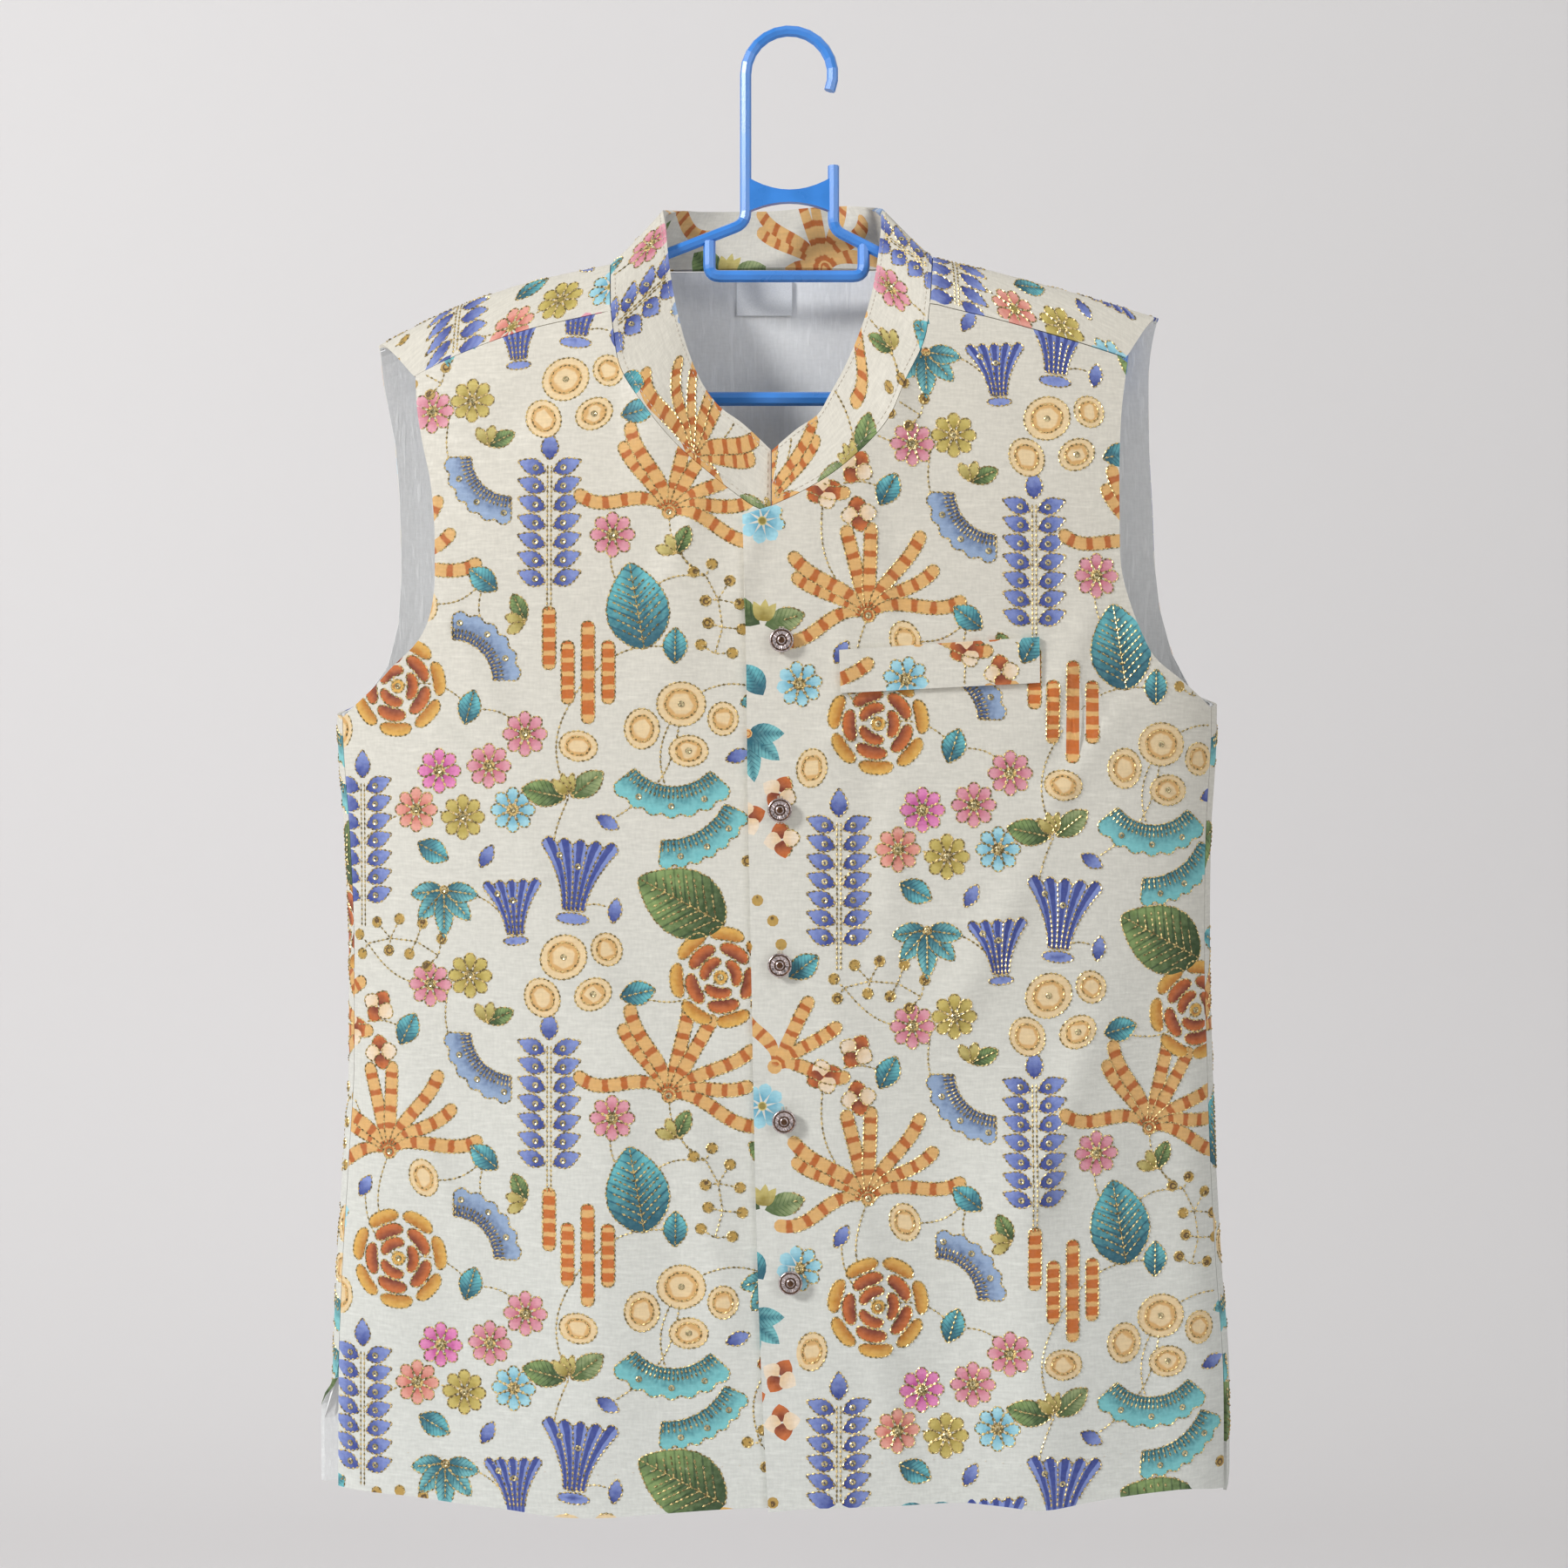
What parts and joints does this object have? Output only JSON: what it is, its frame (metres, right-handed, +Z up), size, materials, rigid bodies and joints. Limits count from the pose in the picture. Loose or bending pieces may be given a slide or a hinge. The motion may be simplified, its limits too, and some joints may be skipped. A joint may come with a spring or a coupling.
{
  "type": "sleeveless band-collar jacket on hanger",
  "caption": "Child's sleeveless band-collar jacket of printed silk, buttoned down the front, on a moulded hanger with a hook.",
  "frame": {"origin": "inner top of the hanger's hook, where it rests on a peg or rod", "axes": "+Z up, +X to the viewer's right as seen from the front, the buttoned front faces -Y"},
  "size_m": [0.3876, 0.0746, 0.6221],
  "materials": {
    "printed_silk": "satin",
    "lining_cotton": "matte",
    "label_satin": "satin",
    "button_silver": "satin",
    "hanger_plastic": "gloss"
  },
  "bodies": {
    "root": {"front_right": "printed_silk", "front_left": "printed_silk", "back": "printed_silk", "collar": "printed_silk", "pocket_welt": "printed_silk", "back_lining": "lining_cotton", "neck_label": "label_satin", "button_1": "button_silver", "button_2": "button_silver", "button_3": "button_silver", "button_4": "button_silver", "button_5": "button_silver", "hanger": "hanger_plastic"}
  },
  "joints": []
}
